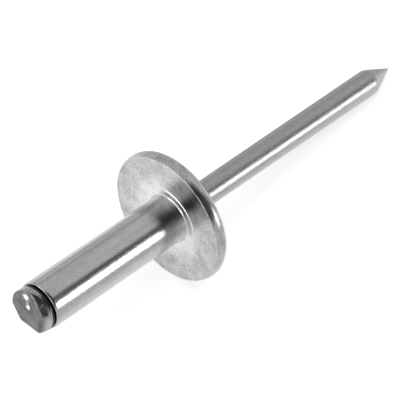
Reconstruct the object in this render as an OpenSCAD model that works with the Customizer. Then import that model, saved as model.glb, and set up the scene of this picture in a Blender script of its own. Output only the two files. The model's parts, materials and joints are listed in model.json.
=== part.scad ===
// Open-end blind rivet with a large domed flange, not yet set.
// A tubular body and the pulling mandrel that runs through it.
// Both pieces are round and share one axis. They are drawn upright on Z with the
// flat underside of the flange at zero and the mandrel's point upwards, and then
// laid down as the rivet rests: on the rim of its flange and on the shoulder where
// the mandrel's point begins.
// Lengths are in millimetres.

/* [Shank] */
// Outer diameter of the shank next to the flange
shank_d = 5.0; // [4.6:0.05:5.4]
// Length of the shank under the flange
shank_len = 17.35; // [14:0.05:26]
// How much wider the shank is at its open end than at the flange
tail_swell = 0.12; // [0:0.01:0.3]
// Straight length at the open end
tail_straight = 3.0; // [1:0.25:4]
// Length over which the shank widens
taper_len = 6.5; // [2:0.25:8]
// Rounding of the open end's outer edge
tail_edge_r = 0.26; // [0.1:0.02:0.4]

/* [Bore] */
// Gap between the mandrel and the bore, on each side
bore_gap = 0.05; // [0.02:0.01:0.12]
// Chamfer at both mouths of the bore
bore_chamfer = 0.15; // [0.05:0.01:0.25]

/* [Flange] */
// Widest diameter of the flange
flange_d = 14.2; // [11:0.1:16]
// Height of the flange at its crown, above the underside
flange_h = 2.2; // [2.1:0.05:3]
// Height of the flange's widest line above the underside
rim_mid = 0.83; // [0.7:0.01:0.9]
// Radius of the rim between the widest line and the dome
rim_r = 0.9; // [0.5:0.02:1]
// Radius of the rim between the underside and the widest line
rim_side_r = 1.65; // [1.2:0.05:4]

/* [Collar under the flange] */
// Diameter of the low collar round the shank, where it meets the underside
collar_d = 7.4; // [6.4:0.1:9]
// Height of the collar
collar_h = 0.08; // [0.04:0.01:0.2]
// Width of the collar's sloping edge
collar_slope = 0.08; // [0.04:0.01:0.2]
// Fillet between the shank and the collar's face
root_fillet = 0.1; // [0.03:0.01:0.15]

/* [Mandrel stem] */
// Diameter of the stem
stem_d = 2.7; // [2.3:0.05:3]
// Length of the stem that stands out of the flange's crown, point included
stem_out = 29.75; // [22:0.05:40]
// Length of the conical point
point_len = 3.0; // [2:0.1:4.5]
// Radius of the shoulder where the point begins
point_shoulder_r = 1.5; // [0.5:0.1:2]
// Radius of the very tip
point_tip_r = 0.06; // [0.04:0.01:0.15]

/* [Mandrel head] */
// Diameter of the head
head_d = 4.9; // [4.5:0.05:5.1]
// Length of the head beyond the shank's open end
head_len = 1.4; // [1.3:0.05:2]
// Width of the flat end face across its corners
face_d = 4.4; // [3.8:0.05:4.5]
// Number of pressed facets round the end face
facets = 6; // [5:1:8]
// Slope of the facets, measured from the axis
facet_slope = 45; // [35:1:50]
// Turn of one corner of the end face away from straight down
facet_turn = 23; // [0:1:60]
// Rounding of the head's edge at the seat
head_edge_r = 0.18; // [0.08:0.01:0.25]
// Fillet between the head's seat and the stem
head_fillet = 0.1; // [0.03:0.01:0.15]
// Outer diameter of the ring on which the head bears on the open end
seat_d = 3.7; // [3.4:0.05:4]
// Gap between the head's rim and the open end, outside that ring
seat_gap = 0.14; // [0.06:0.01:0.25]

/* [Break neck] */
// Diameter left at the bottom of the notch where the mandrel breaks
neck_d = 1.9; // [1.5:0.05:2.1]
// Distance of the notch from the head's seat
neck_pos = 1.3; // [0.9:0.05:3]
// Width of the notch along the stem
neck_w = 0.9; // [0.5:0.05:1.2]

/* [Hidden] */
$fn = 96;

shank_r = shank_d / 2;
tail_r = shank_r + tail_swell / 2;
flange_r = flange_d / 2;
collar_r = collar_d / 2;
stem_r = stem_d / 2;
bore_r = stem_r + bore_gap;
mouth_r = bore_r + bore_chamfer;
head_r = head_d / 2;
seat_r = seat_d / 2;
neck_r = neck_d / 2;

// The rim's two arcs meet at the widest line with an upright tangent.
rim_side_start = -asin(rim_mid / rim_side_r);
// The dome is the sphere that touches the rim's upper arc and passes the crown.
rim_centre_r = flange_r - rim_r;
dome_rise = flange_h - rim_mid;
dome_r = (pow(rim_centre_r, 2) + pow(dome_rise, 2) - pow(rim_r, 2)) / (2 * (dome_rise - rim_r));
dome_centre = flange_h - dome_r;
dome_start = atan2(rim_mid - dome_centre, rim_centre_r);
dome_end = acos(mouth_r / dome_r);
mouth_z = dome_centre + dome_r * sin(dome_end);

// The point: a cone between a rounded shoulder and a rounded tip.
point_half = atan(stem_r / point_len);
point_z = flange_h + stem_out;
tip_centre_z = point_z - point_tip_r;
sharp_z = tip_centre_z + point_tip_r / sin(point_half);
shoulder_z = sharp_z - stem_r / tan(point_half);
shoulder_centre_z = shoulder_z - point_shoulder_r * tan(point_half / 2);

// The head's end face is a polygon with its corners on this circle.
face_z = -shank_len - head_len;
face_corner_r = face_d / 2;
face_flat_r = face_corner_r * cos(180 / facets);
facet_step = 360 / facets;
cut_size = 3 * head_d;

// The rivet rests on the rim's upper arc and on the shoulder's arc, so it lies at
// the tilt of the line that touches both circles.
rest_run = shoulder_centre_z - rim_mid;
rest_drop = rim_centre_r - (stem_r - point_shoulder_r);
rest_span = sqrt(pow(rest_run, 2) + pow(rest_drop, 2));
rest_tilt = atan2(rest_drop, rest_run) + asin((rim_r - point_shoulder_r) / rest_span);
rest_lift = rim_centre_r * cos(rest_tilt) + rim_mid * sin(rest_tilt) + rim_r;

// Both ends of the laid rivet along X, for an origin in the middle of its base.
corner_reach = max([for (i = [0:facets - 1]) face_corner_r * cos(facet_turn + i * facet_step)]);
far_end = tip_centre_z * cos(rest_tilt) + point_tip_r;
near_end = face_z * cos(rest_tilt) - corner_reach * sin(rest_tilt);
rest_shift = -(far_end + near_end) / 2;

// Points of an arc about a centre, from one angle to another.
function arc(cx, cy, r, from, to, steps) =
    [for (i = [0:steps]) let (a = from + (to - from) * i / steps) [cx + r * cos(a), cy + r * sin(a)]];

// The points after the first, for an arc that starts where another ends.
function past_first(points) = [for (i = [1:len(points) - 1]) points[i]];

// Lays an upright piece down in the resting position.
module laid() {
    translate([rest_shift, 0, rest_lift])
        rotate([0, 90 + rest_tilt, 0])
            children();
}

// The shank's outside, from the open end up to the collar.
function shank_outline() = concat(
    arc(tail_r - tail_edge_r, -shank_len + tail_edge_r, tail_edge_r, -90, 0, 6),
    [
        [tail_r, -shank_len + tail_straight],
        [shank_r, -shank_len + tail_straight + taper_len]
    ],
    arc(shank_r + root_fillet, -collar_h - root_fillet, root_fillet, 180, 90, 4)
);

// The flange, from the collar's edge round the rim to the crown.
function flange_outline() = concat(
    [
        [collar_r - collar_slope, -collar_h],
        [collar_r, 0]
    ],
    arc(flange_r - rim_side_r, rim_mid, rim_side_r, rim_side_start, 0, 6),
    past_first(arc(rim_centre_r, rim_mid, rim_r, 0, dome_start, 10)),
    past_first(arc(0, dome_centre, dome_r, dome_start, dome_end, 10))
);

// The tubular body: shank and flange headed from one blank, with the bore through both.
module rivet_body() {
    color([0.80, 0.81, 0.82])
        laid()
            rotate_extrude()
                polygon(concat(
                    shank_outline(),
                    flange_outline(),
                    [
                        [bore_r, mouth_z - bore_chamfer],
                        [bore_r, -shank_len + bore_chamfer],
                        [mouth_r, -shank_len]
                    ]
                ));
}

// The head's outside, from the axis at the end face to the stem.
function head_outline() = concat(
    [
        [0, face_z],
        [head_r, face_z]
    ],
    arc(head_r - head_edge_r, -shank_len - seat_gap - head_edge_r, head_edge_r, 0, 90, 4),
    [[seat_r, -shank_len]],
    arc(stem_r + head_fillet, -shank_len + head_fillet, head_fillet, -90, -180, 4)
);

// The notch at which the stem breaks once the rivet is set.
function neck_outline() = [
    [stem_r, -shank_len + neck_pos - neck_w / 2],
    [neck_r, -shank_len + neck_pos],
    [stem_r, -shank_len + neck_pos + neck_w / 2]
];

// The point, from the shoulder to the tip on the axis.
function point_outline() = concat(
    arc(stem_r - point_shoulder_r, shoulder_centre_z, point_shoulder_r, 0, point_half, 5),
    arc(0, tip_centre_z, point_tip_r, point_half, 90, 4)
);

// One pressed facet: everything outside a sloping plane at the edge of the end face.
module facet_cut(turn) {
    rotate([0, 0, turn])
        translate([face_flat_r, 0, face_z])
            rotate([0, facet_slope, 0])
                translate([0, -cut_size / 2, -cut_size / 2])
                    cube(cut_size);
}

// The mandrel: faceted head, break neck, stem and point in one piece of drawn wire.
module mandrel() {
    color([0.62, 0.63, 0.65])
        laid()
            difference() {
                rotate_extrude()
                    polygon(concat(head_outline(), neck_outline(), point_outline()));
                for (i = [0:facets - 1]) {
                    facet_cut(facet_turn + (i + 0.5) * facet_step);
                }
            }
}

rivet_body();
mandrel();
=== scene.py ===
import json
import math
import bpy
from mathutils import Matrix, Vector, noise


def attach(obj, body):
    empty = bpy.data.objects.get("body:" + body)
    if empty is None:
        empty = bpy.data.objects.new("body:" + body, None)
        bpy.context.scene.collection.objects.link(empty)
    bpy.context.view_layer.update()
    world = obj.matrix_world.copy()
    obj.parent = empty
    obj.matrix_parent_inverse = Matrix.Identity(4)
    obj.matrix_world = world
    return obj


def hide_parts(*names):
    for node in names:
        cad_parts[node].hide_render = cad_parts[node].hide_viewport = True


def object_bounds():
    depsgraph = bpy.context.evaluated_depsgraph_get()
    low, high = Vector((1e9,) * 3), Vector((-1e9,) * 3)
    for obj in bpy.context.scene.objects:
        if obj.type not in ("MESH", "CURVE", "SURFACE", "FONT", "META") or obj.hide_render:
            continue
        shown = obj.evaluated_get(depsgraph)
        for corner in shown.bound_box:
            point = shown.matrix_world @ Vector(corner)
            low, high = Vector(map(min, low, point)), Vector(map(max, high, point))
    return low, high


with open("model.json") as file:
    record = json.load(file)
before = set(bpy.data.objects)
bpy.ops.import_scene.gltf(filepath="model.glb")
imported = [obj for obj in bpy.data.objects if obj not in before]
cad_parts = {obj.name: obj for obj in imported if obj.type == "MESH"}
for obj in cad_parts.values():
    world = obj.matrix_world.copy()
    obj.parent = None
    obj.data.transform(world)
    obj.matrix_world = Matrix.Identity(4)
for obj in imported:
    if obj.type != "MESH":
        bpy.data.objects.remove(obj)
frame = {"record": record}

cad_box = [list(corner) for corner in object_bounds()]

# The rivet's body is one piece of aluminium, cold-headed from a blank: a tube for the
# shank and a wide domed flange, slightly hollow underneath. It is drawn upright in
# millimetres, with the shank below zero and the flange above, and then laid on its rim.
MM = 0.001
mounts = {mount["name"]: mount for mount in frame["record"]["mounts"]}
to_head = Vector(mounts["shank"]["axis"])
shank_point = Vector(mounts["shank"]["pos_m"])
seat_point = Vector(mounts["flange_seat"]["pos_m"])
# The frame's seat for the outer sheet lies this far below zero.
seat_drop = 0.08
underside = shank_point + to_head * ((seat_point - shank_point).dot(to_head) - seat_drop * MM)
tilt = math.asin(to_head.z)
laid = Matrix.Translation(underside) @ Matrix.Rotation(math.pi / 2 + tilt, 4, "Y")

shank_r = mounts["shank"]["dims"]["r_mm"]
shank_len = 17.35
tail_r = 2.56
tail_straight = 3.0
taper_len = 6.5
tail_edge_r = 0.26
stem_r = 1.35
bore_r = 1.4
mouth_r = 1.55
flange_r = 7.1
flange_h = 2.2
rim_mid = 0.83
rim_r = 0.9
ridge_r = 6.94
ridge_rise = 0.09
ridge_edge_r = 0.08
ring_r = 3.46
ring_rise = 0.28
ring_step = 0.05
ring_slope = 0.07
ring_edge_r = 0.06
root_rise = 0.31
root_fillet = 0.26
round_steps = 192
tiny = 1e-6


def arc(centre_r, centre_z, radius, start, end, steps):
    """Points (radius, height) of an arc between two angles in degrees."""
    points = []
    for i in range(steps + 1):
        a = math.radians(start + (end - start) * i / steps)
        points.append((centre_r + radius * math.cos(a), centre_z + radius * math.sin(a)))
    return points


def straight(start, end, steps):
    """Points between two places, the first left out."""
    return [
        (start[0] + (end[0] - start[0]) * i / steps, start[1] + (end[1] - start[1]) * i / steps)
        for i in range(1, steps + 1)
    ]


# The points that hold an eased corner are this many times as far from it as its arc's ends.
hold_share = 1.3


def eased(before, corner, after, radius, steps):
    """A small arc in place of an outline's corner, held by a close point on each side."""
    here = Vector(corner)
    back = (Vector(before) - here).normalized()
    ahead = (Vector(after) - here).normalized()
    half = math.acos(max(-1, min(1, back.dot(ahead)))) / 2
    cut = radius / math.tan(half)
    middle = here + (back + ahead).normalized() * radius / math.sin(half)
    first = here + back * cut - middle
    turn = first.angle_signed(here + ahead * cut - middle)
    points = [here + back * cut * hold_share]
    for i in range(steps + 1):
        a = -turn * i / steps
        points.append(middle + Matrix.Rotation(a, 2) @ first)
    points.append(here + ahead * cut * hold_share)
    return [(point.x, point.y) for point in points]


def turned(name, outline, closed, shape=None):
    """A mesh turned from an outline of (radius, height) points in mm, laid as it rests."""
    verts = []
    faces = []
    rings = []
    for radius, height in outline:
        if radius < tiny:
            rings.append([len(verts)])
            verts.append(laid @ (Vector((0, 0, height)) * MM))
            continue
        ring = []
        for k in range(round_steps):
            a = 2 * math.pi * k / round_steps
            point = Vector((radius * math.cos(a), radius * math.sin(a), height))
            if shape:
                point = shape(point)
            ring.append(len(verts))
            verts.append(laid @ (point * MM))
        rings.append(ring)
    pairs = list(zip(rings, rings[1:]))
    if closed:
        pairs.append((rings[-1], rings[0]))
    for low, high in pairs:
        for k in range(round_steps):
            n = (k + 1) % round_steps
            if len(low) == 1:
                faces.append((low[0], high[n], high[k]))
            elif len(high) == 1:
                faces.append((low[k], low[n], high[0]))
            else:
                faces.append((low[k], low[n], high[n], high[k]))
    mesh = bpy.data.meshes.new(name)
    mesh.from_pydata(verts, [], faces)
    mesh.update()
    mesh.shade_smooth()
    piece = bpy.data.objects.new(name, mesh)
    bpy.context.scene.collection.objects.link(piece)
    return piece


# The dome is the sphere that touches the rim's upper arc and passes the crown.
rim_centre_r = flange_r - rim_r
dome_rise = flange_h - rim_mid
dome_r = (rim_centre_r**2 + dome_rise**2 - rim_r**2) / (2 * (dome_rise - rim_r))
dome_centre = flange_h - dome_r
dome_start = math.degrees(math.atan2(rim_mid - dome_centre, rim_centre_r))
dome_end = math.degrees(math.acos(mouth_r / dome_r))
mouth_z = dome_centre + dome_r * math.sin(math.radians(dome_end))
mouth_chamfer = mouth_r - bore_r
# The rim's lower arc starts at the ridge and is upright at the rim's widest line.
rim_side_turn = 2 * math.atan2(flange_r - ridge_r, rim_mid - ridge_rise)
rim_side_r = (rim_mid - ridge_rise) / math.sin(rim_side_turn)
rim_side_start = -math.degrees(rim_side_turn)
rim_side = arc(flange_r - rim_side_r, rim_mid, rim_side_r, rim_side_start, 0, steps=16)
# The hollow underside falls from the shank's root over a thin ring to the ridge.
taper_z = -shank_len + tail_straight
root_z = root_rise - root_fillet
ring_edge = (ring_r - ring_slope, ring_rise - ring_step)
ring_foot = (ring_r, ring_rise)
ridge = (ridge_r, ridge_rise)

body_outline = arc(tail_r - tail_edge_r, -shank_len + tail_edge_r, tail_edge_r, -90, 0, steps=10)
body_outline += straight(body_outline[-1], (tail_r, taper_z), steps=6)
body_outline += straight(body_outline[-1], (shank_r, taper_z + taper_len), steps=10)
body_outline += straight(body_outline[-1], (shank_r, root_z), steps=12)
body_outline += arc(shank_r + root_fillet, root_z, root_fillet, 180, 90, steps=10)[1:]
body_outline += eased(body_outline[-1], ring_edge, ring_foot, ring_edge_r, steps=5)
body_outline += [ring_foot]
body_outline += straight(ring_foot, ridge, steps=14)[:-1]
body_outline += eased(ring_foot, ridge, rim_side[1], ridge_edge_r, steps=6)
body_outline += rim_side[2:]
body_outline += arc(rim_centre_r, rim_mid, rim_r, 0, dome_start, steps=14)[1:]
body_outline += arc(0, dome_centre, dome_r, dome_start, dome_end, steps=20)[1:]
body_outline += [
    (bore_r, mouth_z - mouth_chamfer),
    (bore_r, -shank_len + mouth_chamfer),
    (mouth_r, -shank_len),
]

body = turned("rivet_body_surface", body_outline, True)
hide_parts("rivet_body")
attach(body, "root")
crisp_from = 40
crease = body.modifiers.new("crisp corners", "EDGE_SPLIT")
crease.split_angle = math.radians(crisp_from)


def new_group(name, inputs, outputs):
    """A shader node group with named sockets, and its input and output nodes."""
    group = bpy.data.node_groups.new(name, "ShaderNodeTree")
    for label, kind, value in inputs:
        socket = group.interface.new_socket(name=label, in_out="INPUT", socket_type=kind)
        if value is not None:
            socket.default_value = value
    for label, kind in outputs:
        group.interface.new_socket(name=label, in_out="OUTPUT", socket_type=kind)
    return group, group.nodes.new("NodeGroupInput"), group.nodes.new("NodeGroupOutput")


def feed(tree, value, socket):
    """Links a value to a socket, or sets it there where it is a plain number or colour."""
    if isinstance(value, bpy.types.NodeSocket):
        tree.links.new(value, socket)
    else:
        socket.default_value = value


def math_node(tree, operation, first, second=None):
    """A math node whose inputs are sockets or numbers."""
    node = tree.nodes.new("ShaderNodeMath")
    node.operation = operation
    feed(tree, first, node.inputs[0])
    if second is not None:
        feed(tree, second, node.inputs[1])
    return node.outputs[0]


def remap(tree, value, low, high, to_low, to_high):
    """A map range node from one span to another."""
    node = tree.nodes.new("ShaderNodeMapRange")
    tree.links.new(value, node.inputs["Value"])
    node.inputs["From Min"].default_value = low
    node.inputs["From Max"].default_value = high
    node.inputs["To Min"].default_value = to_low
    node.inputs["To Max"].default_value = to_high
    return node.outputs["Result"]


def noise_node(tree, vector, scale, detail, roughness=0.5):
    """Noise between 0 and 1, whose scale per millimetre is a socket or a number."""
    node = tree.nodes.new("ShaderNodeTexNoise")
    tree.links.new(vector, node.inputs["Vector"])
    feed(tree, scale, node.inputs["Scale"])
    node.inputs["Detail"].default_value = detail
    node.inputs["Roughness"].default_value = roughness
    return node.outputs["Fac"]


def mixed(tree, factor, first, second):
    """A colour between two, each a socket or a plain colour."""
    node = tree.nodes.new("ShaderNodeMix")
    node.data_type = "RGBA"
    tree.links.new(factor, node.inputs["Factor"])
    feed(tree, first, node.inputs["A"])
    feed(tree, second, node.inputs["B"])
    return node.outputs["Result"]


# Marks of drawing run along a shank or a wire: fine lines, much longer than wide.
lengthwise = 0.06
streak_scale = 1.6
drawn_group, drawn_in, drawn_out = new_group(
    "drawn marks",
    [("Upright", "NodeSocketVector", None), ("Fineness", "NodeSocketFloat", 6.0)],
    [("Height", "NodeSocketFloat"), ("Streaks", "NodeSocketFloat")],
)
stretch = drawn_group.nodes.new("ShaderNodeVectorMath")
stretch.operation = "MULTIPLY"
stretch.inputs[1].default_value = (1, 1, lengthwise)
drawn_group.links.new(drawn_in.outputs["Upright"], stretch.inputs[0])
stretched = stretch.outputs[0]
lines = noise_node(drawn_group, stretched, drawn_in.outputs["Fineness"], detail=3, roughness=0.6)
broad = noise_node(drawn_group, stretched, streak_scale, detail=3)
drawn_group.links.new(lines, drawn_out.inputs["Height"])
drawn_group.links.new(broad, drawn_out.inputs["Streaks"])

# Tumbling in a barrel leaves a fine pebbled grain with small pits on all the metal.
specks_aside = (31, 17, 5)
cloud_scale = 0.7
grain_group, grain_in, grain_out = new_group(
    "tumbled grain",
    [("Upright", "NodeSocketVector", None), ("Fineness", "NodeSocketFloat", 5.0)],
    [("Height", "NodeSocketFloat"), ("Specks", "NodeSocketFloat"), ("Clouds", "NodeSocketFloat")],
)
shifted = grain_group.nodes.new("ShaderNodeVectorMath")
shifted.operation = "ADD"
shifted.inputs[1].default_value = specks_aside
grain_group.links.new(grain_in.outputs["Upright"], shifted.inputs[0])
grain_place = grain_in.outputs["Upright"]
grain_fineness = grain_in.outputs["Fineness"]
pebbles = noise_node(grain_group, grain_place, grain_fineness, detail=2, roughness=0.55)
specks = noise_node(grain_group, shifted.outputs[0], grain_fineness, detail=2, roughness=0.7)
clouds = noise_node(grain_group, grain_place, cloud_scale, detail=3)
grain_group.links.new(pebbles, grain_out.inputs["Height"])
grain_group.links.new(specks, grain_out.inputs["Specks"])
grain_group.links.new(clouds, grain_out.inputs["Clouds"])


def use_group(tree, group, upright, fineness):
    """A placed node group, fed with the upright coordinates."""
    node = tree.nodes.new("ShaderNodeGroup")
    node.node_tree = group
    tree.links.new(upright, node.inputs["Upright"])
    node.inputs["Fineness"].default_value = fineness
    return node


def bare_metal(name):
    """A new metal material: its tree, its shader and the upright coordinates in mm."""
    material = bpy.data.materials.new(name)
    material.use_nodes = True
    tree = material.node_tree
    shader = tree.nodes["Principled BSDF"]
    shader.inputs["Metallic"].default_value = 1.0
    place = tree.nodes.new("ShaderNodeTexCoord")
    upright = tree.nodes.new("ShaderNodeMapping")
    upright.vector_type = "TEXTURE"
    upright.inputs["Location"].default_value = underside
    upright.inputs["Rotation"].default_value = (0, math.pi / 2 + tilt, 0)
    upright.inputs["Scale"].default_value = (MM, MM, MM)
    tree.links.new(place.outputs["Object"], upright.inputs["Vector"])
    return material, tree, shader, upright.outputs["Vector"]


def add_bump(tree, height, depth, normal=None):
    """A bump whose full height is a depth in millimetres."""
    node = tree.nodes.new("ShaderNodeBump")
    node.inputs["Strength"].default_value = 1.0
    node.inputs["Distance"].default_value = depth * MM
    tree.links.new(height, node.inputs["Height"])
    if normal:
        tree.links.new(normal, node.inputs["Normal"])
    return node.outputs["Normal"]


def weighed(tree, base, parts):
    """A number plus the sum of sockets, each less a half and times its own weight."""
    total = base
    for socket, weight in parts:
        swing = math_node(tree, "MULTIPLY", math_node(tree, "SUBTRACT", socket, 0.5), weight)
        total = math_node(tree, "ADD", swing, total)
    return total


# The metal's tone runs from 0, its darkest, to 1, its brightest. The shank is drawn
# smooth, and the flange is cloudy, with faint turned rings and a bright root underneath.
dark_aluminium = (0.36, 0.365, 0.37, 1)
pale_aluminium = (0.89, 0.895, 0.90, 1)
# Grey of the painted shade on the shank's end face, in the gap under the mandrel's head.
gap_painted_shade = (0.05, 0.05, 0.05, 1)
flange_from_r = (2.62, 2.72)
dome_from_z = (0.5, 1.0)
root_span_r = (2.6, 4.8)
root_gain = 0.75
gap_shade_z = (-shank_len + 0.05, -shank_len + 0.02)
shank_mean_tone = 0.48
flange_mean_tone = 0.43
noise_span = (0.3, 0.7)
shank_roughness = (0.09, 0.16)
flange_roughness = (0.17, 0.26)
line_depth = 0.006
ring_depth = 0.005
wave_depth = 0.012
grain_depth = 0.010

aluminium, tree, shader, upright = bare_metal("bright_aluminium")
drawn = use_group(tree, drawn_group, upright, fineness=6.0)
grain = use_group(tree, grain_group, upright, fineness=8.0)
split = tree.nodes.new("ShaderNodeSeparateXYZ")
tree.links.new(upright, split.inputs[0])
across = math_node(tree, "POWER", split.outputs["X"], 2.0)
beside = math_node(tree, "POWER", split.outputs["Y"], 2.0)
radius = math_node(tree, "SQRT", math_node(tree, "ADD", across, beside))
beyond_shank = remap(tree, radius, *flange_from_r, 0.0, 1.0)
on_dome = remap(tree, split.outputs["Z"], *dome_from_z, 0.0, 1.0)
on_flange = math_node(tree, "MAXIMUM", beyond_shank, on_dome)
on_shank = math_node(tree, "SUBTRACT", 1.0, on_flange)


def on_both(tree, shank_value, flange_value):
    """One value on the shank and another on the flange."""
    shank_part = math_node(tree, "MULTIPLY", shank_value, on_shank)
    flange_part = math_node(tree, "MULTIPLY", flange_value, on_flange)
    return math_node(tree, "ADD", shank_part, flange_part)


rings = tree.nodes.new("ShaderNodeTexNoise")
rings.noise_dimensions = "1D"
rings.inputs["Scale"].default_value = 5.0
rings.inputs["Detail"].default_value = 3
tree.links.new(radius, rings.inputs["W"])
shank_tone = weighed(tree, shank_mean_tone, [
    (grain.outputs["Specks"], 0.9),
    (grain.outputs["Clouds"], 0.26),
    (drawn.outputs["Streaks"], 0.52),
])
flange_tone = weighed(tree, flange_mean_tone, [
    (grain.outputs["Specks"], 2.2),
    (grain.outputs["Clouds"], 1.1),
    (rings.outputs["Fac"], 0.25),
])
near_root = remap(tree, radius, *root_span_r, root_gain, 0.0)
underneath = math_node(tree, "SUBTRACT", 1.0, on_dome)
root_tone = math_node(tree, "MULTIPLY", near_root, underneath)
tone = on_both(tree, shank_tone, math_node(tree, "ADD", flange_tone, root_tone))
worn = mixed(tree, tone, dark_aluminium, pale_aluminium)
# Painted shade: the shank's end face in the gap under the head is coloured nearly black.
painted_gap_shade = remap(tree, split.outputs["Z"], *gap_shade_z, 0.0, 1.0)
tree.links.new(mixed(tree, painted_gap_shade, worn, gap_painted_shade), shader.inputs["Base Color"])
shank_rough = remap(tree, drawn.outputs["Streaks"], *noise_span, *shank_roughness)
flange_rough = remap(tree, grain.outputs["Clouds"], *noise_span, *flange_roughness)
tree.links.new(on_both(tree, shank_rough, flange_rough), shader.inputs["Roughness"])
lines_height = math_node(tree, "MULTIPLY", drawn.outputs["Height"], on_shank)
rings_height = math_node(tree, "MULTIPLY", rings.outputs["Fac"], on_flange)
lines_bump = add_bump(tree, lines_height, line_depth)
rings_bump = add_bump(tree, rings_height, ring_depth, lines_bump)
waves_bump = add_bump(tree, grain.outputs["Clouds"], wave_depth, rings_bump)
grain_bump = add_bump(tree, grain.outputs["Height"], grain_depth, waves_bump)
tree.links.new(grain_bump, shader.inputs["Normal"])
body.data.materials.append(aluminium)

# The mandrel is drawn steel wire: a head pressed to uneven facets and sheared off at the
# end, a notch inside the shank where it will break, a long stem and a nail-like point.
# Its head seats on the shank's open end, and its stem runs through the body's bore.
head_r = 2.45
head_len = 1.4
facet_slope = 45
head_edge_r = 0.18
head_fillet = 0.1
seat_r = 1.85
seat_gap = 0.14
neck_r = 0.95
neck_pos = 1.3
neck_w = 0.9
stem_out = 29.75
point_len = 3.0
point_shoulder_r = 1.5
point_tip_r = 0.06
rim_z = -shank_len - seat_gap
rim_edge_z = rim_z - head_edge_r
face_z = -shank_len - head_len
fillet_r = stem_r + head_fillet
neck_z = -shank_len + neck_pos
point_half = math.atan(stem_r / point_len)
point_half_deg = math.degrees(point_half)
tip_centre_z = flange_h + stem_out - point_tip_r
sharp_z = tip_centre_z + point_tip_r / math.sin(point_half)
shoulder_z = sharp_z - point_len
shoulder_centre_r = stem_r - point_shoulder_r
shoulder_centre_z = shoulder_z - point_shoulder_r * math.tan(point_half / 2)
shoulder_arc = arc(shoulder_centre_r, shoulder_centre_z, point_shoulder_r, 0, point_half_deg, steps=8)
tip_arc = arc(0, tip_centre_z, point_tip_r, point_half_deg, 90, steps=5)

mandrel_outline = [(0, face_z)]
mandrel_outline += straight((0, face_z), (head_r, face_z), steps=36)
mandrel_outline += straight((head_r, face_z), (head_r, rim_edge_z), steps=26)
mandrel_outline += arc(head_r - head_edge_r, rim_edge_z, head_edge_r, 0, 90, steps=6)[1:]
mandrel_outline += straight(mandrel_outline[-1], (seat_r, -shank_len), steps=3)
mandrel_outline += straight(mandrel_outline[-1], (fillet_r, -shank_len), steps=2)
mandrel_outline += arc(fillet_r, -shank_len + head_fillet, head_fillet, -90, -180, steps=4)[1:]
mandrel_outline += [
    (stem_r, neck_z - neck_w / 2),
    (neck_r, neck_z),
    (stem_r, neck_z + neck_w / 2),
]
mandrel_outline += straight(mandrel_outline[-1], (stem_r, shoulder_centre_z), steps=24)
mandrel_outline += shoulder_arc[1:]
mandrel_outline += straight(mandrel_outline[-1], tip_arc[0], steps=10)
mandrel_outline += tip_arc[1:-1] + [(0, flange_h + stem_out)]

# Corners of the end face as pressed: distance from the axis and turn about it in degrees.
face_corners = [
    (2.08, 24), (2.38, 77), (2.42, 106), (2.36, 142),
    (1.90, 168), (1.72, 209), (1.80, 241), (2.09, 319),
]
corner_places = [
    Vector((r * math.cos(math.radians(a)), r * math.sin(math.radians(a)))) for r, a in face_corners
]
facets = []
for here, there in zip(corner_places, corner_places[1:] + corner_places[:1]):
    outward = Vector((there.y - here.y, here.x - there.x)).normalized()
    slope = math.radians(facet_slope)
    normal = Vector((outward.x * math.cos(slope), outward.y * math.cos(slope), -math.sin(slope)))
    facets.append((normal, normal.dot(Vector((here.x, here.y, face_z)))))
side_ease = 0.20
facet_ease = 0.10
face_ease = 0.17
# The shear left a sloping step across the end face. In axes turned with the step: its
# height, the slope's width and middle, the same where it bends and narrows, and where
# along the face it opens, bends and runs out.
step_turn = math.radians(206)
step_height = 0.22
step_width = 0.42
step_place = 1.12
step_narrow = 0.33
step_bend = 0.38
step_ease = 0.2
opening_span = (-2.05, -1.70)
bend_span = (-1.15, -0.65)
fading_span = (-0.85, 0.35)
# The rest of the end face has shallow hollows, and fine tears in them.
hollow_scale = 0.9
hollow_depth = 0.05
hollow_mean = 0.03
hollow_seed = 4.0
tear_scale = 3.1
tear_depth = 0.012
tear_seed = 9.0
# Torn steel is dark. It covers the end face and its rounded edge, reaches further down
# the side where the shear smeared it, and leaves the step's slope bright.
smear_span = (0.7, 1.5)
smear_most = 3
torn_ease = 0.6
slope_reach = 0.05
steep_span = (0.25, 0.39)
inside_span = (0.3, 1.3)
torn_depth = 0.9
# The head's surface is found along rays from a point inside it.
head_centre = Vector((0, 0, -shank_len - 0.5))
nearest_share = 0.5
halvings = 14


def eased_over(span, value):
    """Eases a number from 0 at the start of a span to 1 at its end."""
    share = max(0, min(1, (value - span[0]) / (span[1] - span[0])))
    return share * share * (3 - 2 * share)


def eased_most(first, second, ease):
    """The larger of two numbers, rounded where they are within an ease of each other."""
    near = max(ease - abs(first - second), 0) / ease
    return max(first, second) + near * near * ease / 4


def along_step(x, y):
    """How far along the sheared step a place of the end face lies, in mm."""
    return y * math.cos(step_turn) - x * math.sin(step_turn)


def step_down(x, y):
    """How far the sheared step has dropped at a place of the end face, in mm."""
    across = x * math.cos(step_turn) + y * math.sin(step_turn)
    along = along_step(x, y)
    bent = eased_over(bend_span, along)
    width = step_width + (step_narrow - step_width) * bent
    middle = step_place + (step_bend - step_place) * bent
    begun = eased_most((across - middle) / width + 0.5, 0, step_ease)
    slope = 1 - eased_most(1 - begun, 0, step_ease)
    opened = eased_over(opening_span, along)
    faded = eased_over(fading_span, along)
    return step_height * slope * opened * (1 - faded)


def beyond_end(point):
    """How far a point lies outside the torn end face, in mm."""
    hollow = noise.noise(Vector((point.x * hollow_scale, point.y * hollow_scale, hollow_seed)))
    tear = noise.noise(Vector((point.x * tear_scale, point.y * tear_scale, tear_seed)))
    worked = hollow * hollow_depth + hollow_mean + tear * tear_depth
    return face_z + max(0, step_down(point.x, point.y) + worked) - point.z


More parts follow.
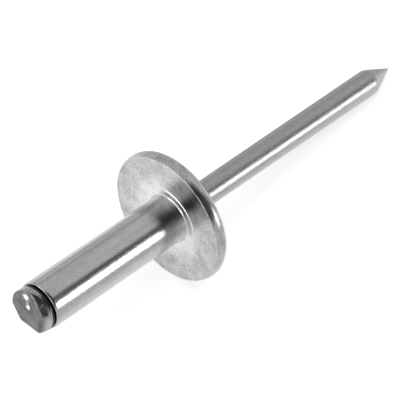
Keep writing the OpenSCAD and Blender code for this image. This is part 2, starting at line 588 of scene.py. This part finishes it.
def beyond_sides(point):
    """How far a point lies outside the pressed facets and the round side, in mm."""
    most = -head_r
    for normal, distance in facets:
        most = eased_most(most, normal.dot(point) - distance, facet_ease)
    return eased_most(most, math.hypot(point.x, point.y) - head_r, side_ease)


def beyond_head(point):
    """How far a point lies outside the whole head, in mm."""
    return eased_most(beyond_sides(point), beyond_end(point), face_ease)


def torn_share(point):
    """How torn the steel is at a point of the head: smooth on the facets and the step's slope."""
    lead = (beyond_end(point) - beyond_sides(point)) / face_ease
    smear = 1 + smear_most * eased_over(smear_span, along_step(point.x, point.y))
    torn_part = eased_over((-smear, -torn_ease), lead)
    aside = Vector((math.cos(step_turn), math.sin(step_turn))) * slope_reach
    lower = step_down(point.x + aside.x, point.y + aside.y)
    upper = step_down(point.x - aside.x, point.y - aside.y)
    steep = eased_over(steep_span, (lower - upper) / (2 * slope_reach))
    return torn_part * (1 - steep * eased_over(inside_span, lead))


def pressed(point):
    """Draws a point of the plain head in along its ray to the pressed surface."""
    if point.z > rim_edge_z + tiny or beyond_head(point) <= 0:
        return point
    ray = point - head_centre
    inner = nearest_share
    outer = 1.0
    for _ in range(halvings):
        middle = (inner + outer) / 2
        if beyond_head(head_centre + ray * middle) > 0:
            outer = middle
        else:
            inner = middle
    return head_centre + ray * inner


mandrel = turned("mandrel_surface", mandrel_outline, False, pressed)
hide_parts("mandrel")
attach(mandrel, "root")
torn_marks = mandrel.data.attributes.new("torn", "FLOAT", "POINT")
for vertex, mark in zip(mandrel.data.vertices, torn_marks.data):
    place = (laid.inverted() @ vertex.co) / MM
    if place.z < face_z + torn_depth:
        mark.value = torn_share(place)

# The wire and the pressed facets are bright, and the torn end face is dark and rough.
# The gap under the head's rim, down into the bore, is painted nearly black as shade.
dark_wire = (0.38, 0.385, 0.39, 1)
pale_wire = (0.60, 0.605, 0.61, 1)
dark_tear = (0.09, 0.09, 0.09, 1)
pale_tear = (0.27, 0.27, 0.27, 1)
under_rim_painted_shade = (0.04, 0.04, 0.04, 1)
under_rim_z = (rim_z - 0.36, rim_z - 0.30)
inside_bore_z = (-shank_len + 1.0, -shank_len + 1.1)
mean_tone = 0.5
wire_roughness = (0.14, 0.22)
torn_roughness = 0.16
wire_line_depth = 0.003
wire_grain_depth = 0.027
pressed_from_z = (rim_z, rim_z - 0.05)
pressed_smoothing = 0.75

steel, tree, shader, upright = bare_metal("drawn_steel")
drawn = use_group(tree, drawn_group, upright, fineness=8.0)
grain = use_group(tree, grain_group, upright, fineness=8.0)
split = tree.nodes.new("ShaderNodeSeparateXYZ")
tree.links.new(upright, split.inputs[0])
torn_mark = tree.nodes.new("ShaderNodeAttribute")
torn_mark.attribute_name = "torn"
sheared = torn_mark.outputs["Fac"]
wire_tone = weighed(tree, mean_tone, [
    (grain.outputs["Specks"], 1.6),
    (drawn.outputs["Streaks"], 0.5),
    (grain.outputs["Clouds"], 0.4),
])
torn_tone = weighed(tree, mean_tone, [
    (grain.outputs["Specks"], 1.8),
    (grain.outputs["Clouds"], 2.0),
])
wire = mixed(tree, wire_tone, dark_wire, pale_wire)
torn = mixed(tree, torn_tone, dark_tear, pale_tear)
end_or_wire = mixed(tree, sheared, wire, torn)
# Painted shade: nearly black from just under the head's rim to inside the bore.
beyond_rim = remap(tree, split.outputs["Z"], *under_rim_z, 0.0, 1.0)
before_bore = remap(tree, split.outputs["Z"], *inside_bore_z, 1.0, 0.0)
painted_gap_shade = math_node(tree, "MULTIPLY", beyond_rim, before_bore)
tree.links.new(mixed(tree, painted_gap_shade, end_or_wire, under_rim_painted_shade), shader.inputs["Base Color"])
wire_rough = remap(tree, grain.outputs["Clouds"], *noise_span, *wire_roughness)
torn_rough = math_node(tree, "MULTIPLY", sheared, torn_roughness)
tree.links.new(math_node(tree, "ADD", wire_rough, torn_rough), shader.inputs["Roughness"])
lines_bump = add_bump(tree, drawn.outputs["Height"], wire_line_depth)
on_head = remap(tree, split.outputs["Z"], *pressed_from_z, 0.0, 1.0)
smoothed = math_node(tree, "MULTIPLY", on_head, math_node(tree, "SUBTRACT", 1.0, sheared))
grain_lost = math_node(tree, "MULTIPLY", smoothed, pressed_smoothing)
grain_left = math_node(tree, "SUBTRACT", 1.0, grain_lost)
grain_height = math_node(tree, "MULTIPLY", grain.outputs["Height"], grain_left)
grain_bump = add_bump(tree, grain_height, wire_grain_depth, lines_bump)
tree.links.new(grain_bump, shader.inputs["Normal"])
mandrel.data.materials.append(steel)

# The camera stands where the photograph's did: above the open end, looking down along
# the rivet, far off through a long lens, so that the shape hardly narrows with depth.
camera_azimuth = math.radians(-44.27)
camera_elevation = math.radians(58.5)
camera_distance = 0.5
nearest_seen = 0.01
farthest_seen = 20
picture_px = 400
picture_mm = 36.0
focal_px = 5100
# Pixel of the picture at which the middle of the flange's underside shows.
underside_px = (166.14, 219.63)
look = Vector((
    -math.sin(camera_azimuth) * math.cos(camera_elevation),
    math.cos(camera_azimuth) * math.cos(camera_elevation),
    -math.sin(camera_elevation),
))
right = Vector((math.cos(camera_azimuth), math.sin(camera_azimuth), 0))
up = right.cross(look)
per_px = camera_distance / focal_px
aside_px = picture_px / 2 - underside_px[0]
above_px = underside_px[1] - picture_px / 2
aim = underside + right * aside_px * per_px + up * above_px * per_px
facing = Matrix((right, up, -look)).transposed().to_4x4()
camera_data = bpy.data.cameras.new("camera")
camera_data.sensor_width = picture_mm
camera_data.lens = focal_px * picture_mm / picture_px
camera_data.clip_start = nearest_seen
camera_data.clip_end = farthest_seen
camera = bpy.data.objects.new("camera", camera_data)
bpy.context.scene.collection.objects.link(camera)
camera.matrix_world = Matrix.Translation(aim - look * camera_distance) @ facing
bpy.context.scene.camera = camera

# The table is a plain sheet of white board, far wider than the rivet, which rests on it.
# It looks white and keeps the rivet's shadow. In the metal it shows a painted glow that is brightest
# under the rivet, with painted shade towards the front and beside the stem on the far side.
table_half = 3.0
sheet_grey = (0.66, 0.66, 0.66, 1)
glow_white = (1, 1, 1, 1)
table_glow_seen = 0.62
front_shade_y = (-0.025, -0.003)
front_shade_glow = (0.02, 0.35)
bright_strip_y = -0.002
bright_strip_half = 0.012
bright_strip_glow = 0.13
far_side_x = (-0.002, 0.012)
far_side_y = (-0.001, 0.003)
table_corners = [
    (-table_half, -table_half, 0),
    (table_half, -table_half, 0),
    (table_half, table_half, 0),
    (-table_half, table_half, 0),
]
table_mesh = bpy.data.meshes.new("table")
table_mesh.from_pydata(table_corners, [], [(0, 1, 2, 3)])
table = bpy.data.objects.new("table", table_mesh)
table.location.z = cad_box[0][2]
bpy.context.scene.collection.objects.link(table)
sheet = bpy.data.materials.new("white_sheet")
sheet.use_nodes = True
tree = sheet.node_tree
tree.nodes.clear()
matt = tree.nodes.new("ShaderNodeBsdfDiffuse")
matt.inputs["Color"].default_value = sheet_grey
glow = tree.nodes.new("ShaderNodeEmission")
glow.inputs["Color"].default_value = glow_white
paths = tree.nodes.new("ShaderNodeLightPath")
spot = tree.nodes.new("ShaderNodeSeparateXYZ")
tree.links.new(tree.nodes.new("ShaderNodeNewGeometry").outputs["Position"], spot.inputs[0])
# Painted light and shade, seen only in the metal: the glow falls off with place on the sheet.
front_shade = remap(tree, spot.outputs["Y"], *front_shade_y, *front_shade_glow)
off_strip = math_node(tree, "ABSOLUTE", math_node(tree, "SUBTRACT", spot.outputs["Y"], bright_strip_y))
strip = remap(tree, off_strip, 0.0, bright_strip_half, bright_strip_glow, 0.0)
far_along = remap(tree, spot.outputs["X"], *far_side_x, 0.0, 1.0)
far_across = remap(tree, spot.outputs["Y"], *far_side_y, 0.0, 1.0)
far_side = math_node(tree, "MULTIPLY", far_along, far_across)
near_side = math_node(tree, "SUBTRACT", 1.0, far_side)
table_glow_mirrored = math_node(tree, "MULTIPLY", math_node(tree, "ADD", front_shade, strip), near_side)
seen = math_node(tree, "MULTIPLY", paths.outputs["Is Camera Ray"], table_glow_seen)
mirrored = math_node(tree, "MULTIPLY", paths.outputs["Is Glossy Ray"], table_glow_mirrored)
tree.links.new(math_node(tree, "ADD", seen, mirrored), glow.inputs["Strength"])
both = tree.nodes.new("ShaderNodeAddShader")
tree.links.new(matt.outputs[0], both.inputs[0])
tree.links.new(glow.outputs[0], both.inputs[1])
out = tree.nodes.new("ShaderNodeOutputMaterial")
tree.links.new(both.outputs[0], out.inputs["Surface"])
table_mesh.materials.append(sheet)

# The studio: a light grey room with dark cards round the camera, a low window on the
# right, a long low one on the left, and one soft lamp overhead for the table.
away = Vector((0, 0, 1)).cross(right)
room_white = (1, 1, 1, 1)
# Brightness of the room by height, from the horizon at 0 to straight up at 1.
room_levels = [
    (0.0, 0.85), (0.06, 0.66), (0.24, 0.53), (0.30, 0.40), (0.36, 0.40),
    (0.42, 0.50), (0.58, 0.60), (0.75, 0.58), (1.0, 0.5),
]
# Dark cards: azimuth, elevation, where the card ends, where the room is bare, brightness.
cards = [
    (170, 56, 12, 34, 0.04),
    (108, 44, 9, 27, 0.07),
    (85, 32, 5, 11, 0.14),
    (128, 38, 10, 22, 0.07),
    (115, 68, 12, 32, 0.04),
    (-133, 46, 15, 24, 0.04),
    (-168, 24, 11, 17, 0.05),
]


def bearing(azimuth, elevation):
    """A direction from the rivet: azimuth from straight away from the camera, to the right."""
    a = math.radians(azimuth)
    e = math.radians(elevation)
    return (right * math.sin(a) + away * math.cos(a)) * math.cos(e) + Vector((0, 0, math.sin(e)))


world = bpy.data.worlds.new("grey_room")
bpy.context.scene.world = world
world.use_nodes = True
tree = world.node_tree
tree.nodes.clear()
ways = tree.nodes.new("ShaderNodeTexCoord")
split = tree.nodes.new("ShaderNodeSeparateXYZ")
tree.links.new(ways.outputs["Generated"], split.inputs[0])
room = tree.nodes.new("ShaderNodeValToRGB")
stops = room.color_ramp.elements
for height, _ in room_levels[1:-1]:
    stops.new(height)
for stop, (_, level) in zip(stops, room_levels):
    stop.color = (level, level, level, 1)
tree.links.new(split.outputs["Z"], room.inputs["Fac"])
lit = room.outputs["Color"]
for azimuth, elevation, inner, outer, level in cards:
    nearness = tree.nodes.new("ShaderNodeVectorMath")
    nearness.operation = "DOT_PRODUCT"
    nearness.inputs[1].default_value = bearing(azimuth, elevation)
    tree.links.new(ways.outputs["Generated"], nearness.inputs[0])
    cover = tree.nodes.new("ShaderNodeMapRange")
    cover.interpolation_type = "SMOOTHSTEP"
    cover.inputs["From Min"].default_value = math.cos(math.radians(outer))
    cover.inputs["From Max"].default_value = math.cos(math.radians(inner))
    tree.links.new(nearness.outputs["Value"], cover.inputs["Value"])
    lit = mixed(tree, cover.outputs["Result"], lit, (level, level, level, 1))
paths = tree.nodes.new("ShaderNodeLightPath")
plain = mixed(tree, paths.outputs["Is Camera Ray"], lit, room_white)
shell = tree.nodes.new("ShaderNodeBackground")
tree.links.new(plain, shell.inputs["Color"])
out = tree.nodes.new("ShaderNodeOutputWorld")
tree.links.new(shell.outputs[0], out.inputs["Surface"])


def soft_lamp(name, azimuth, elevation, distance, width, height, level):
    """A rectangular lamp of a given brightness that faces the rivet."""
    direction = bearing(azimuth, elevation)
    data = bpy.data.lights.new(name, "AREA")
    data.shape = "RECTANGLE"
    data.size = width
    data.size_y = height
    data.energy = level * math.pi * width * height
    lamp = bpy.data.objects.new(name, data)
    turn = direction.to_track_quat("Z", "Y").to_matrix().to_4x4()
    lamp.matrix_world = Matrix.Translation(underside + direction * distance) @ turn
    bpy.context.scene.collection.objects.link(lamp)
    return lamp


soft_lamp("window", azimuth=98.5, elevation=10.6, distance=0.6, width=0.21, height=0.215, level=3.0)
soft_lamp("long_window", azimuth=-124, elevation=13.0, distance=0.6, width=0.56, height=0.27, level=2.4)
overhead = soft_lamp("overhead", azimuth=0, elevation=90, distance=0.7, width=0.7, height=0.7, level=1.9)
overhead.visible_glossy = False

bpy.context.scene.view_settings.view_transform = "Standard"
